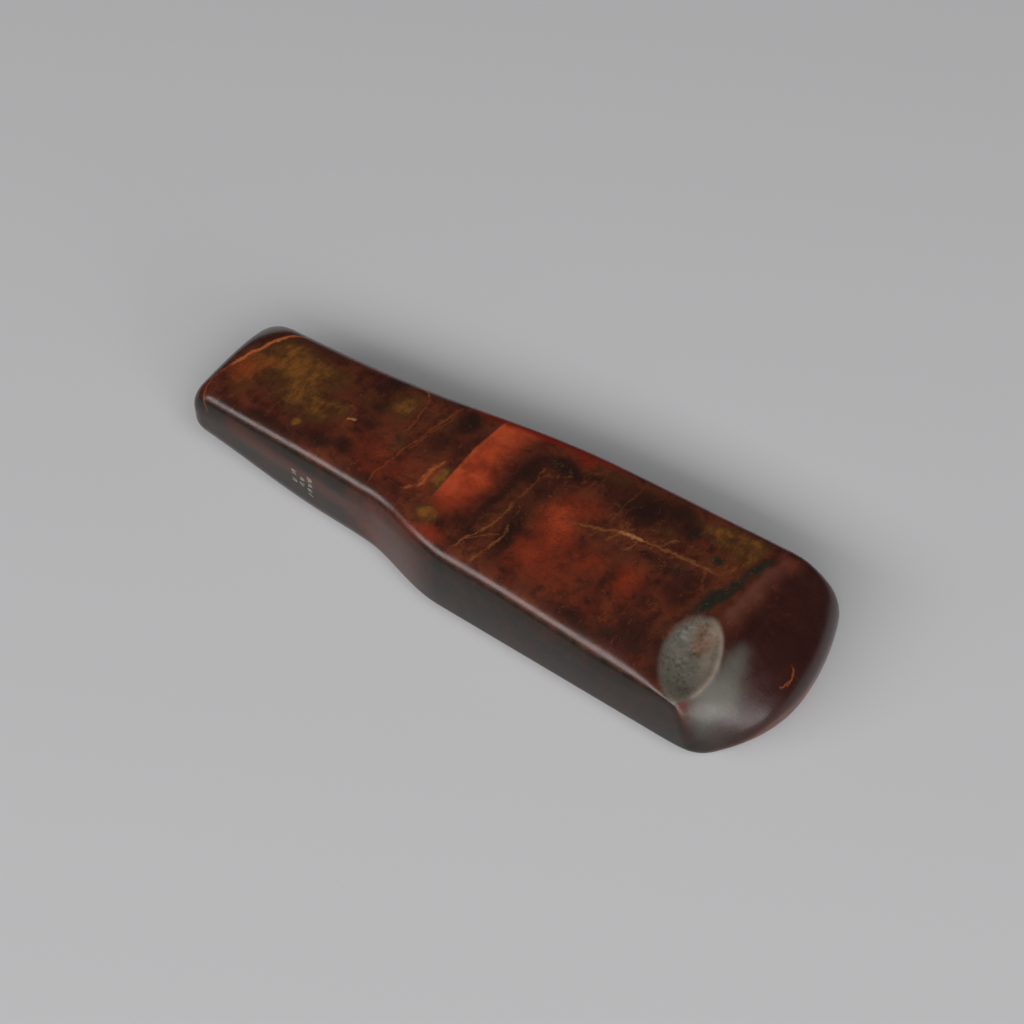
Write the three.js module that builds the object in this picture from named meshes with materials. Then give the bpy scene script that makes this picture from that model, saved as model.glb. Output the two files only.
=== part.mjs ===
import * as THREE from "three";
import { mergeVertices } from "three/addons/utils/BufferGeometryUtils.js";

// Stone axe head lying on one face. Millimetres, +X to the cutting edge, +Z up, -Y the lettered side.
// Overall form
const buttEnd = -85.1;
const edgeEnd = 88.2;
const thickness = 24.0;
const topCrown = 0.9;
const nearFall = 4.0;
const buttDrop = 2.1;
const buttDropStart = -30.0;

// Half widths of the narrow tang and of the blade, measured from the centre line
const tangHalf = 19.5;
const nearTaper = 0.045;
const farTaper = 0.017;
const bladeHalf = 26.5;
const bladeFlare = 0.02;
const farTrim = 1.1;

// Shoulders where the tang widens into the blade: middle and half length
const nearShoulder = { middle: -12.0, reach: 13.8 };
const farShoulder = { middle: -14.2, reach: 36.0 };

// Bevel from the ridge line down to the cutting edge
const ridgeX = 66.0;
const ridgeFarSweep = 4.5;
const ridgeNearSweep = 1.3;
const bevelStartAngle = 19.0;
const bevelEndAngle = 46.0;
const bevelShortest = 5.0;
const edgeHeight = 12.5;
const edgeNearDrop = 8.6;
const edgeFarDrop = 0.4;
const edgeNearRadius = 36.0;
const edgeFarRadius = 68.0;

// Butt end: slight bow, skew and an oblique chamfer on the upper face
const buttBow = 0.1;
const buttSkew = -0.023;
const chamferX = -79.5;
const chamferSkew = 0.38;
const chamferCurve = 0.0155;
const chamferAngle = 25.5;

// Underside: keel across the width, rise towards the butt and a lower bevel towards the edge
const flatDepth = 0.3;
const keelRise = 4.3;
const buttRise = 4.8;
const lowBevelX = 76.0;
const lowBevelAngle = 12.0;
const lowBevelRadius = 47.0;

// Side walls bow through the thickness
const bowHeight = 8.5;
const tangBow = 0.05;
const bladeBow = 0.8;

// Softness of the arrises
const topSoftBlade = 3.2;
const topSoftNear = 5.6;
const topSoftTang = 7.2;
const topSoftNose = 1.3;
const ridgeSoft = 1.2;
const cornerSoft = 2.9;
const buttSoft = 4.4;
const chamferSoft = 1.5;
const lowSoftBlade = 1.3;
const lowSoftTang = 2.9;
const lowSoftNose = 1.3;
const lowBevelSoft = 1.0;

// Thumb-sized hollow ground across the ridge on the near side
const hollow = { x: 64.6, y: -14.3, lean: 0.2, lift: 0.1, tiltX: 0.205, tiltY: 0.263, halfX: 7.4, halfY: 11.6, halfZ: 4.3 };
const hollowSoft = 1.7;
const hollowCrisp = 0.6;

// Blank that is drawn onto the form
const lengthCells = 64;
const widthCells = 20;
const depthCells = 10;
const spineStart = -70.0;
const spineEnd = 64.0;
const spineHeight = 11.0;
const reach = 45.0;
const halvings = 36;

const rad = THREE.MathUtils.degToRad;
const clamp = THREE.MathUtils.clamp;

// Smooth step from 0 at a to 1 at b, in either direction
function ramp(a, b, x) {
  const t = clamp((x - a) / (b - a), 0, 1);
  return t * t * (3 - 2 * t);
}

// The larger of two distances, rounded over where they are closer than k
function softMax(a, b, k) {
  const h = Math.max(k - Math.abs(a - b), 0) / k;
  return Math.max(a, b) + h * h * k * 0.25;
}

function tangShare(x) {
  return 1 - ramp(-34, -2, x);
}

function halfWidth(x, y) {
  const shoulder = y < 0 ? nearShoulder : farShoulder;
  const trim = y < 0 ? 0 : farTrim;
  const taper = y < 0 ? nearTaper : farTaper;
  const tang = tangHalf + taper * (x + 40) - trim;
  const blade = bladeHalf + bladeFlare * (x - 8) - trim;
  return tang + (blade - tang) * ramp(shoulder.middle - shoulder.reach, shoulder.middle + shoulder.reach, x);
}

function ridgeLine(y) {
  const sweep = y < 0 ? ridgeNearSweep : ridgeFarSweep;
  return ridgeX + sweep * Math.pow(Math.abs(y) / 22, 1.6);
}

function edgeRadius(y) {
  return y < 0 ? edgeNearRadius : edgeFarRadius;
}

function edgeLine(y) {
  const r = edgeRadius(y);
  return edgeEnd - r + Math.sqrt(Math.max(r * r - y * y, 1));
}

function edgeLevel(y) {
  const drop = y < 0 ? edgeNearDrop : edgeFarDrop;
  return edgeHeight - drop * Math.pow(y / 25, 2);
}

function topLevel(x, y) {
  const w = halfWidth(x, y);
  const crown = topCrown + (y < 0 ? nearFall * ramp(10, 72, x) : 0);
  return thickness - buttDrop * ramp(buttDropStart, -84, x) - crown * Math.pow(y / w, 2);
}

// Convex bevel: its slope grows from the ridge line to the edge line
function bevelFace(x, y, z) {
  const s0 = Math.sin(rad(bevelStartAngle));
  const s1 = Math.sin(rad(bevelEndAngle));
  const c0 = Math.cos(rad(bevelStartAngle));
  const c1 = Math.cos(rad(bevelEndAngle));
  const start = ridgeLine(y);
  const length = Math.max(edgeLine(y) - start, bevelShortest);
  const t = (x - start) / length;
  const held = clamp(t, 0, 1);
  const s = s0 + held * (s1 - s0);
  const c = Math.sqrt(1 - s * s);
  const rate = ((s / c) * (s1 - s0)) / (c0 - c1);
  const fall = (c0 - c) / (c0 - c1) + rate * (t - held);
  const top = topLevel(x, y);
  const drop = top - edgeLevel(y);
  const slope = (drop * rate) / length;
  return (z - (top - drop * fall)) / Math.sqrt(1 + slope * slope);
}

function sideFace(x, y, z) {
  const tang = tangShare(x);
  const bow = tangBow * tang + bladeBow * (1 - tang);
  return Math.abs(y) - halfWidth(x, y) + bow * Math.pow((z - bowHeight) / 10, 2);
}

function edgeFace(x, y) {
  const r = edgeRadius(y);
  return Math.hypot(Math.max(x - (edgeEnd - r), 0), y) - r;
}

function buttFace(x, y) {
  return buttEnd - x + buttBow * Math.pow(y / 15, 2) + buttSkew * y;
}

function chamferFace(x, y, z) {
  const line = chamferX + chamferSkew * y + chamferCurve * y * y;
  const a = rad(chamferAngle);
  return (line - x) * Math.sin(a) + (z - thickness) * Math.cos(a);
}

function underFace(x, y, z) {
  const keel = keelRise * Math.pow(y / 25.5, 2);
  const rise = buttRise * ramp(-40, -88, x);
  const flat = keel + rise - flatDepth - z;
  const a = rad(lowBevelAngle);
  const bend = (edgeEnd - edgeLine(y)) * ramp(60, 84, x);
  const cx = lowBevelX - lowBevelRadius * Math.sin(a);
  const cz = lowBevelRadius * Math.cos(a) + keel * 0.2;
  const low = Math.hypot(Math.max(x + bend - cx, 0), Math.max(cz - z, 0)) - lowBevelRadius;
  return softMax(flat, low, lowBevelSoft);
}

function hollowFace(x, y, z) {
  const dy = y - hollow.y;
  const dx = x - hollow.x + hollow.lean * dy;
  const dz = z - (thickness + hollow.lift) + hollow.tiltX * dx - hollow.tiltY * dy;
  return (Math.hypot(dx / hollow.halfX, dy / hollow.halfY, dz / hollow.halfZ) - 1) * hollow.halfZ;
}

// Signed distance to the carved surface, negative inside the stone
function stone(x, y, z) {
  const tang = tangShare(x);
  const blade = THREE.MathUtils.lerp(topSoftBlade, topSoftNear, ramp(4, -4, y) * ramp(64, 48, x));
  const worn = THREE.MathUtils.lerp(blade, topSoftTang, tang);
  const topSoft = THREE.MathUtils.lerp(worn, topSoftNose, ramp(56, 70, x) * ramp(0, -14, y));
  const lowSoft = lowSoftBlade + lowSoftTang * tang + lowSoftNose * ramp(66, 80, x);
  const upper = softMax(z - topLevel(x, y), bevelFace(x, y, z), ridgeSoft);
  const outline = softMax(softMax(sideFace(x, y, z), edgeFace(x, y), cornerSoft), buttFace(x, y), buttSoft);
  let body = softMax(upper, outline, topSoft);
  body = softMax(body, chamferFace(x, y, z), chamferSoft);
  body = softMax(body, underFace(x, y, z), lowSoft);
  body = Math.max(body, -z);
  const rim = THREE.MathUtils.lerp(hollowSoft, hollowCrisp, ramp(-5, 4, x - hollow.x));
  return softMax(body, -hollowFace(x, y, z), rim);
}

// Crowd the cells of the blank towards its arrises
function crowd(t, power) {
  return Math.sign(t) * (1 - Math.pow(1 - Math.abs(t), power));
}

// Where a point of the blank cube sits before it is drawn onto the surface
function blankPoint(p, q, r) {
  const along = crowd(p, 1.2);
  const across = crowd(q, 1.55);
  const up = (crowd(r, 1.4) + 1) / 2;
  const topStart = chamferX + chamferSkew * across * 16 + chamferCurve * Math.pow(across * 16, 2);
  const topEnd = ridgeLine(across * 24);
  const lowStart = buttEnd + 3 * across * across;
  const lowEnd = edgeLine(across * 25.6);
  const topX = THREE.MathUtils.lerp(topStart, topEnd, (along + 1) / 2);
  const lowX = THREE.MathUtils.lerp(lowStart, lowEnd, (along + 1) / 2);
  const x = THREE.MathUtils.lerp(lowX, topX, up);
  const w = halfWidth(x, across);
  const low = 8 * ramp(60, 88, x) + buttRise * 0.5 * ramp(-40, -88, x) + keelRise * Math.pow((across * w) / 25.5, 2);
  const z = THREE.MathUtils.lerp(low, thickness - 0.5, up);
  return new THREE.Vector3(x, across * (w - 0.9 * up), z);
}

// Follow the ray from the spine through the blank point until it leaves the stone
function drawOnto(point) {
  const spine = new THREE.Vector3(clamp(point.x, spineStart, spineEnd), 0, spineHeight);
  const ray = point.clone().sub(spine).normalize();
  const probe = new THREE.Vector3();
  let inside = 0;
  let outside = reach;
  for (let i = 0; i < halvings; i += 1) {
    const middle = (inside + outside) / 2;
    probe.copy(spine).addScaledVector(ray, middle);
    if (stone(probe.x, probe.y, probe.z) < 0) {
      inside = middle;
    } else {
      outside = middle;
    }
  }
  return probe.copy(spine).addScaledVector(ray, (inside + outside) / 2);
}

function axeGeometry() {
  const blank = new THREE.BoxGeometry(2, 2, 2, lengthCells, widthCells, depthCells);
  blank.deleteAttribute("normal");
  blank.deleteAttribute("uv");
  const geometry = mergeVertices(blank, 1e-4);
  const place = geometry.getAttribute("position");
  for (let i = 0; i < place.count; i += 1) {
    const point = drawOnto(blankPoint(place.getX(i), place.getY(i), place.getZ(i)));
    place.setXYZ(i, point.x, point.y, point.z);
  }
  geometry.computeBoundingBox();
  const box = geometry.boundingBox;
  geometry.translate(-(box.min.x + box.max.x) / 2, -(box.min.y + box.max.y) / 2, -box.min.z);
  geometry.computeVertexNormals();
  return geometry;
}

const jadeite = new THREE.MeshStandardMaterial({ color: 0x4a2418, roughness: 0.28, metalness: 0 });
jadeite.name = "jadeite";

const axeHead = new THREE.Mesh(axeGeometry(), jadeite);
axeHead.name = "axe_head";

const part = new THREE.Group();
part.name = "jadeite_axe_head";
part.add(axeHead);

export default part;
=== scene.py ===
import math
import bpy
import bmesh
import numpy as np
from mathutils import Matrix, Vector


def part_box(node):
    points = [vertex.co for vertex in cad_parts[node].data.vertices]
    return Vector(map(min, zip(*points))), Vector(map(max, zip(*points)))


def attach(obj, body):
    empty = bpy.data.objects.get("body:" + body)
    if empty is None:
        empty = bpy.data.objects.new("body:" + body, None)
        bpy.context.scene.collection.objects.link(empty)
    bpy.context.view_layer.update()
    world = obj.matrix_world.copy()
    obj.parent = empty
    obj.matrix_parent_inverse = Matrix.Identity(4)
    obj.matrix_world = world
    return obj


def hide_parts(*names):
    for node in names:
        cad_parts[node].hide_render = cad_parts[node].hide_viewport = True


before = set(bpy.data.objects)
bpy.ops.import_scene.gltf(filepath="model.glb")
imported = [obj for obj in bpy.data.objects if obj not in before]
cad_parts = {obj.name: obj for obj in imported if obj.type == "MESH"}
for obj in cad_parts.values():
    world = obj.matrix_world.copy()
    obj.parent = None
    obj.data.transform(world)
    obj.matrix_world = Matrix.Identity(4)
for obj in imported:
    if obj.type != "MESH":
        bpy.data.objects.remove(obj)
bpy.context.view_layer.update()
mm = 0.001

# Form of the stone, in mm and degrees: x runs along it to the cutting edge, z is up, and the
# inscribed side faces -y. A name ending in Run holds where a change starts and ends, and one
# ending in At holds the distance at which a rise, drop or sweep reaches its full size.
form = {
    "buttEnd": -85.1, "edgeEnd": 88.2, "thickness": 24.0,
    "topCrown": 0.9, "nearFall": 4.0, "nearFallRun": (10, 72), "buttDrop": 2.1, "buttDropRun": (-30, -84),
    "tangHalf": 19.5, "tangHalfX": -40, "nearTaper": 0.045, "farTaper": 0.017, "tangRun": (-34, -2),
    "bladeHalf": 26.5, "bladeHalfX": 8, "bladeFlare": 0.02, "farTrim": 1.1,
    "nearShoulder": (-12.0, 13.8), "farShoulder": (-14.2, 36.0),   # middle and half length
    "ridgeX": 66.0, "ridgeFarSweep": 4.5, "ridgeNearSweep": 1.3, "ridgeSweepAt": 22, "ridgeSweepPower": 1.6,
    "bevelStart": 19.0, "bevelEnd": 46.0, "bevelShortest": 5.0,
    "edgeHeight": 12.5, "edgeNearDrop": 8.6, "edgeFarDrop": 0.4, "edgeDropAt": 25,
    "edgeNearRadius": 36.0, "edgeFarRadius": 68.0,
    "buttBow": 0.1, "buttBowAt": 15, "buttSkew": -0.023,
    "chamferX": -79.5, "chamferSkew": 0.38, "chamferCurve": 0.0155, "chamferAngle": 25.5,
    "flatDepth": 0.3, "keelRise": 4.3, "keelRiseAt": 25.5, "buttRise": 4.8, "buttRiseRun": (-40, -88),
    "lowBevelX": 76.0, "lowBevelAngle": 12.0, "lowBevelRadius": 47.0, "lowBevelRun": (60, 84),
    "lowBevelKeel": 0.2,
    "bowHeight": 8.5, "bowAt": 10, "tangBow": 0.05, "bladeBow": 0.8,
}
soft = {   # how far each arris is rounded over
    "topBlade": 3.2, "topNear": 5.6, "topNearXRun": (64, 48), "topNearYRun": (4, -4), "topTang": 7.2,
    "topNose": 1.3, "topNoseXRun": (56, 70), "topNoseYRun": (0, -14),
    "ridge": 1.2, "corner": 2.9, "butt": 4.4, "chamfer": 1.5,
    "lowBlade": 1.3, "lowTang": 2.9, "lowNose": 1.3, "lowNoseRun": (66, 80), "lowBevel": 1.0,
    "hollow": 1.7, "hollowCrisp": 0.6, "hollowCrispRun": (-5, 4),
}
hollow = {   # thumb-sized hollow ground across the ridge
    "x": 64.6, "y": -14.3, "lean": 0.2, "lift": 0.1, "tiltX": 0.205, "tiltY": 0.263,
    "halfX": 7.4, "halfY": 11.6, "halfZ": 4.3,
}
# Line inside the stone that points are drawn out from, and how the way out is halved
spine = {"start": -70.0, "end": 64.0, "height": 11.0, "reach": 45.0, "halvings": 34}


def ramp(a, b, x):   # smooth step from 0 at a to 1 at b, in either direction
    t = np.clip((x - a) / (b - a), 0, 1)
    return t * t * (3 - 2 * t)


def lerp(a, b, t):
    return a + (b - a) * t


def softMax(a, b, k):   # the larger of two distances, rounded over where they are closer than k
    h = np.maximum(k - np.abs(a - b), 0) / k
    return np.maximum(a, b) + h * h * k * 0.25


def tangShare(x):
    return 1 - ramp(*form["tangRun"], x)


def halfWidth(x, y):
    near = y < 0
    trim = np.where(near, 0, form["farTrim"])
    taper = np.where(near, form["nearTaper"], form["farTaper"])
    tang = form["tangHalf"] + taper * (x - form["tangHalfX"]) - trim
    blade = form["bladeHalf"] + form["bladeFlare"] * (x - form["bladeHalfX"]) - trim
    shares = [ramp(middle - reach, middle + reach, x)
              for middle, reach in (form["nearShoulder"], form["farShoulder"])]
    return lerp(tang, blade, np.where(near, *shares))


def ridgeLine(y):
    sweep = np.where(y < 0, form["ridgeNearSweep"], form["ridgeFarSweep"])
    return form["ridgeX"] + sweep * (np.abs(y) / form["ridgeSweepAt"]) ** form["ridgeSweepPower"]


def edgeRadius(y):
    return np.where(y < 0, form["edgeNearRadius"], form["edgeFarRadius"])


def edgeLine(y):
    r = edgeRadius(y)
    return form["edgeEnd"] - r + np.sqrt(np.maximum(r * r - y * y, 1))


def edgeLevel(y):
    drop = np.where(y < 0, form["edgeNearDrop"], form["edgeFarDrop"])
    return form["edgeHeight"] - drop * (y / form["edgeDropAt"]) ** 2


def topLevel(x, y):
    crown = form["topCrown"] + np.where(y < 0, form["nearFall"], 0) * ramp(*form["nearFallRun"], x)
    level = form["thickness"] - form["buttDrop"] * ramp(*form["buttDropRun"], x)
    return level - crown * (y / halfWidth(x, y)) ** 2


def bevelFace(x, y, z):   # convex: its slope grows from the ridge line to the edge line
    s0, s1 = (math.sin(math.radians(form[k])) for k in ("bevelStart", "bevelEnd"))
    c0, c1 = (math.cos(math.radians(form[k])) for k in ("bevelStart", "bevelEnd"))
    start = ridgeLine(y)
    length = np.maximum(edgeLine(y) - start, form["bevelShortest"])
    t = (x - start) / length
    held = np.clip(t, 0, 1)
    s = s0 + held * (s1 - s0)
    c = np.sqrt(1 - s * s)
    rate = s / c * (s1 - s0) / (c0 - c1)
    fall = (c0 - c) / (c0 - c1) + rate * (t - held)
    top = topLevel(x, y)
    drop = top - edgeLevel(y)
    slope = drop * rate / length
    return (z - (top - drop * fall)) / np.sqrt(1 + slope * slope)


def sideFace(x, y, z):
    bow = lerp(form["bladeBow"], form["tangBow"], tangShare(x))
    return np.abs(y) - halfWidth(x, y) + bow * ((z - form["bowHeight"]) / form["bowAt"]) ** 2


def edgeFace(x, y):
    r = edgeRadius(y)
    return np.hypot(np.maximum(x - (form["edgeEnd"] - r), 0), y) - r


def buttFace(x, y):
    return form["buttEnd"] - x + form["buttBow"] * (y / form["buttBowAt"]) ** 2 + form["buttSkew"] * y


def chamferFace(x, y, z):
    line = form["chamferX"] + form["chamferSkew"] * y + form["chamferCurve"] * y * y
    a = math.radians(form["chamferAngle"])
    return (line - x) * math.sin(a) + (z - form["thickness"]) * math.cos(a)


def underFace(x, y, z):   # low keel, cut flat where the stone rests, and a lower bevel
    keel = form["keelRise"] * (y / form["keelRiseAt"]) ** 2
    rise = form["buttRise"] * ramp(*form["buttRiseRun"], x)
    flat = keel + rise - form["flatDepth"] - z
    a = math.radians(form["lowBevelAngle"])
    bend = (form["edgeEnd"] - edgeLine(y)) * ramp(*form["lowBevelRun"], x)
    cx = form["lowBevelX"] - form["lowBevelRadius"] * math.sin(a)
    cz = form["lowBevelRadius"] * math.cos(a) + keel * form["lowBevelKeel"]
    low = np.hypot(np.maximum(x + bend - cx, 0), np.maximum(cz - z, 0)) - form["lowBevelRadius"]
    return softMax(flat, low, soft["lowBevel"])


def hollowFace(x, y, z):
    dy = y - hollow["y"]
    dx = x - hollow["x"] + hollow["lean"] * dy
    dz = z - form["thickness"] - hollow["lift"] + hollow["tiltX"] * dx - hollow["tiltY"] * dy
    q = np.sqrt((dx / hollow["halfX"]) ** 2 + (dy / hollow["halfY"]) ** 2 + (dz / hollow["halfZ"]) ** 2)
    return (q - 1) * hollow["halfZ"]


def stoneField(x, y, z):   # distance to the carved surface, below 0 inside the stone
    tang = tangShare(x)
    crisp = ramp(*soft["topNoseXRun"], x) * ramp(*soft["topNoseYRun"], y)
    nearShare = ramp(*soft["topNearYRun"], y) * ramp(*soft["topNearXRun"], x)
    blade = lerp(soft["topBlade"], soft["topNear"], nearShare)
    topSoft = lerp(lerp(blade, soft["topTang"], tang), soft["topNose"], crisp)
    lowSoft = soft["lowBlade"] + soft["lowTang"] * tang + soft["lowNose"] * ramp(*soft["lowNoseRun"], x)
    upper = softMax(z - topLevel(x, y), bevelFace(x, y, z), soft["ridge"])
    outline = softMax(sideFace(x, y, z), edgeFace(x, y), soft["corner"])
    outline = softMax(outline, buttFace(x, y), soft["butt"])
    body = softMax(upper, outline, topSoft)
    body = softMax(body, chamferFace(x, y, z), soft["chamfer"])
    body = np.maximum(softMax(body, underFace(x, y, z), lowSoft), -z)
    rim = lerp(soft["hollow"], soft["hollowCrisp"], ramp(*soft["hollowCrispRun"], x - hollow["x"]))
    return softMax(body, -hollowFace(x, y, z), rim)


def drawOnto(points):   # moves points straight out from the spine to the stone's surface
    foot = np.clip(points[:, 0], spine["start"], spine["end"])
    centre = np.stack([foot, np.zeros_like(foot), np.full_like(foot, spine["height"])], 1)
    ray = points - centre
    ray /= np.linalg.norm(ray, axis=1, keepdims=True)
    low, high = np.zeros(len(foot)), np.full(len(foot), spine["reach"])
    for _ in range(spine["halvings"]):
        middle = (low + high) / 2
        inside = stoneField(*(centre + ray * middle[:, None]).T) < 0
        low, high = np.where(inside, middle, low), np.where(inside, high, middle)
    return centre + ray * high[:, None]


def outward(points, step=0.04):   # surface directions from the field itself
    g = np.stack([stoneField(*(points + s).T) - stoneField(*(points - s).T) for s in np.eye(3) * step], 1)
    return g / np.linalg.norm(g, axis=1, keepdims=True)


grid = {   # cells of the mesh, and the places where they are cut finer
    "alongCells": 236, "acrossCells": 98, "upCells": 34,
    "alongCrowd": 1.2, "acrossCrowd": 1.35, "upCrowd": 1.3,   # more than 1 brings cells closer at the arrises
    "hollowCuts": 1, "hollowMiddle": (64.5, -14.5), "hollowHalf": (8.6, 11.2), "hollowAbove": 12,
    "strokeCuts": 4, "strokeX": (-51.8, -40.6), "strokeZ": (5.2, 17.6), "strokeBeyondY": -15,
    "mergeWithin": 1e-5,
}
blank = {   # the box before it is drawn onto the form
    "chamferHalf": 16, "ridgeHalf": 24, "edgeHalf": 25.6, "buttBow": 3,
    "noseRise": 8, "noseRiseRun": (60, 88), "buttShare": 0.5, "belowTop": 0.5, "topInset": 0.9,
}


def crowd(t, power):
    return np.sign(t) * (1 - (1 - np.abs(t)) ** power)


def blankPoint(p, q, r):
    along, across = crowd(p, grid["alongCrowd"]), crowd(q, grid["acrossCrowd"])
    up = (crowd(r, grid["upCrowd"]) + 1) / 2
    y = across * blank["chamferHalf"]
    topStart = form["chamferX"] + form["chamferSkew"] * y + form["chamferCurve"] * y ** 2
    topEnd = ridgeLine(across * blank["ridgeHalf"])
    lowStart = form["buttEnd"] + blank["buttBow"] * across * across
    lowEnd = edgeLine(across * blank["edgeHalf"])
    x = lerp(lerp(lowStart, lowEnd, (along + 1) / 2), lerp(topStart, topEnd, (along + 1) / 2), up)
    w = halfWidth(x, across)
    low = blank["noseRise"] * ramp(*blank["noseRiseRun"], x)
    low = low + form["buttRise"] * blank["buttShare"] * ramp(*form["buttRiseRun"], x)
    low = low + form["keelRise"] * (across * w / form["keelRiseAt"]) ** 2
    z = lerp(low, form["thickness"] - blank["belowTop"], up)
    return np.stack([x, across * (w - blank["topInset"] * up), z], -1)


def blankMesh():   # six gridded faces of a box, drawn roughly to the stone's form
    counts = {"p": grid["alongCells"], "q": grid["acrossCells"], "r": grid["upCells"]}
    points, quads, offset = [], [], 0
    for a, b, fixed in (("p", "q", "r"), ("p", "r", "q"), ("q", "r", "p")):
        steps = [np.linspace(-1, 1, counts[k] + 1) for k in (a, b)]
        rows, columns = np.meshgrid(*steps, indexing="ij")
        for value in (-1.0, 1.0):
            place = {a: rows, b: columns, fixed: np.full_like(rows, value)}
            points.append(blankPoint(place["p"], place["q"], place["r"]).reshape(-1, 3))
            ids = np.arange(rows.size).reshape(rows.shape) + offset
            corners = [ids[:-1, :-1], ids[1:, :-1], ids[1:, 1:], ids[:-1, 1:]]
            quads.append(np.stack(corners, -1).reshape(-1, 4))
            offset += rows.size
    return np.concatenate(points), np.concatenate(quads)


def refine(bm, wanted, cuts):   # finer cells where small marks are cut
    faces = [f for f in bm.faces if wanted(f.calc_center_median())]
    edges = list({e for f in faces for e in f.edges})
    bmesh.ops.subdivide_edges(bm, edges=edges, cuts=cuts, use_grid_fill=True)


def nearHollow(c):
    away = [(v - m) / h for v, m, h in zip(c, grid["hollowMiddle"], grid["hollowHalf"])]
    return away[0] ** 2 + away[1] ** 2 < 1 and c.z > grid["hollowAbove"]


def nearInscription(c):
    (left, right), (low, high) = grid["strokeX"], grid["strokeZ"]
    return left < c.x < right and low < c.z < high and c.y < grid["strokeBeyondY"]


def gridMesh():
    bm = bmesh.new()
    points, quads = blankMesh()
    for point in drawOnto(points):
        bm.verts.new(point)
    bm.verts.ensure_lookup_table()
    for quad in quads:
        bm.faces.new([bm.verts[i] for i in quad])
    bmesh.ops.remove_doubles(bm, verts=bm.verts, dist=grid["mergeWithin"])
    refine(bm, nearHollow, grid["hollowCuts"])
    refine(bm, nearInscription, grid["strokeCuts"])
    bmesh.ops.recalc_face_normals(bm, faces=bm.faces)
    return bm


latticeSize = 24   # random values along each axis, after which a cloud repeats


def cloud(points, size, seed):   # smooth clouds from -1 to 1, about size mm across
    values = np.random.default_rng(seed).random((latticeSize,) * 3) * 2 - 1
    q = points / size
    cell = np.floor(q).astype(int)
    f = q - cell
    f = f * f * (3 - 2 * f)
    total = np.zeros(len(points))
    for corner in np.ndindex(2, 2, 2):
        weight = np.prod(np.where(corner, f, 1 - f), axis=1)
        total += weight * values[tuple(((cell + corner) % latticeSize).T)]
    return total


# Three columns of short rows of plain parallel strokes on the near side of the tang, in mm
inscription = {
    "columns": [   # x of a column, then the height and the number of strokes of each row
        (-48.4, [(14.2, 3), (11.3, 2)]), (-45.9, [(13.3, 2), (11.3, 2)]),
        (-43.3, [(14.6, 3), (12.5, 2), (10.6, 2), (9.0, 1)]),
    ],
    "length": 1.5, "halfWidth": 0.10, "apart": 0.62, "slant": -6.0, "depth": 0.14,
    "turns": (9, -14, 4), "halfShares": (0.5, 0.36, 0.44), "stagger": 0.12, "fade": (1.5, 0.5),
    "beyondY": -12,
}
# Low undulation left by hand polishing and the rough floor of the hollow: height, size, seed
relief = {
    "wave": (0.05, 10.0, 3), "ripple": (0.018, 4.0, 4), "hollowWave": (0.16, 2.4, 5),
    "hollowGrain": (0.07, 0.9, 6),
    "waveUpRun": (-0.3, 0.1), "hollowRun": (1.1, -0.2), "hollowAbove": 10,
}


def strokes():   # middle, turn and half length of each stroke
    row = 0
    for x, rows in inscription["columns"]:
        for height, count in rows:
            for k in range(count):
                turn = math.radians(inscription["slant"] + inscription["turns"][(row + k) % 3])
                half = inscription["length"] * inscription["halfShares"][(2 * row + k) % 3]
                z = height - (k - (count - 1) / 2) * inscription["apart"]
                yield x + inscription["stagger"] * (row % 3), z, turn, half
            row += 1


def strokeShare(points):   # 1 in the middle of a stroke, 0 outside
    x, z = points[:, 0], points[:, 2]
    share = np.zeros(len(points))
    for cx, cz, turn, half in strokes():
        u = (x - cx) * math.cos(turn) + (z - cz) * math.sin(turn)
        v = (z - cz) * math.cos(turn) - (x - cx) * math.sin(turn)
        away = np.hypot(np.maximum(np.abs(u) - half, 0), v)
        share = np.maximum(share, ramp(*inscription["fade"], away / inscription["halfWidth"]))
    return share * (points[:, 1] < inscription["beyondY"])


def hollowShare(points):   # 1 on the hollow's floor
    return ramp(*relief["hollowRun"], hollowFace(*points.T)) * (points[:, 2] > relief["hollowAbove"])


def lift(points, name):
    height, size, seed = relief[name]
    return height * cloud(points, size, seed)


def reliefOn(points, facing):
    wave = (lift(points, "wave") + lift(points, "ripple")) * ramp(*relief["waveUpRun"], facing[:, 2])
    rough = (lift(points, "hollowWave") + lift(points, "hollowGrain")) * hollowShare(points)
    height = wave + rough - inscription["depth"] * strokeShare(points)
    return points + facing * height[:, None]


bm = gridMesh()
surface = drawOnto(np.array([v.co[:] for v in bm.verts]))
facing = outward(surface)
print("stone drawn:", len(surface), "points")

# the form is moved, as the solid was, so that its box stands on the origin
cadLow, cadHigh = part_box("axe_head")
middle = (surface.min(0) + surface.max(0)) / 2
cadMiddle = (cadLow + cadHigh) / 2 / mm
shift = np.array([middle[0] - cadMiddle.x, middle[1] - cadMiddle.y, 0])

for vert, point in zip(bm.verts, (reliefOn(surface, facing) - shift) * mm):
    vert.co = point
mesh = bpy.data.meshes.new("axeHead")
bm.to_mesh(mesh)
bm.free()
for face in mesh.polygons:
    face.use_smooth = True
piece = bpy.data.objects.new("jadeiteAxeHead", mesh)
bpy.context.scene.collection.objects.link(piece)
print("stone meshed:", sum(len(f.vertices) - 2 for f in mesh.polygons), "triangles")

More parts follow.
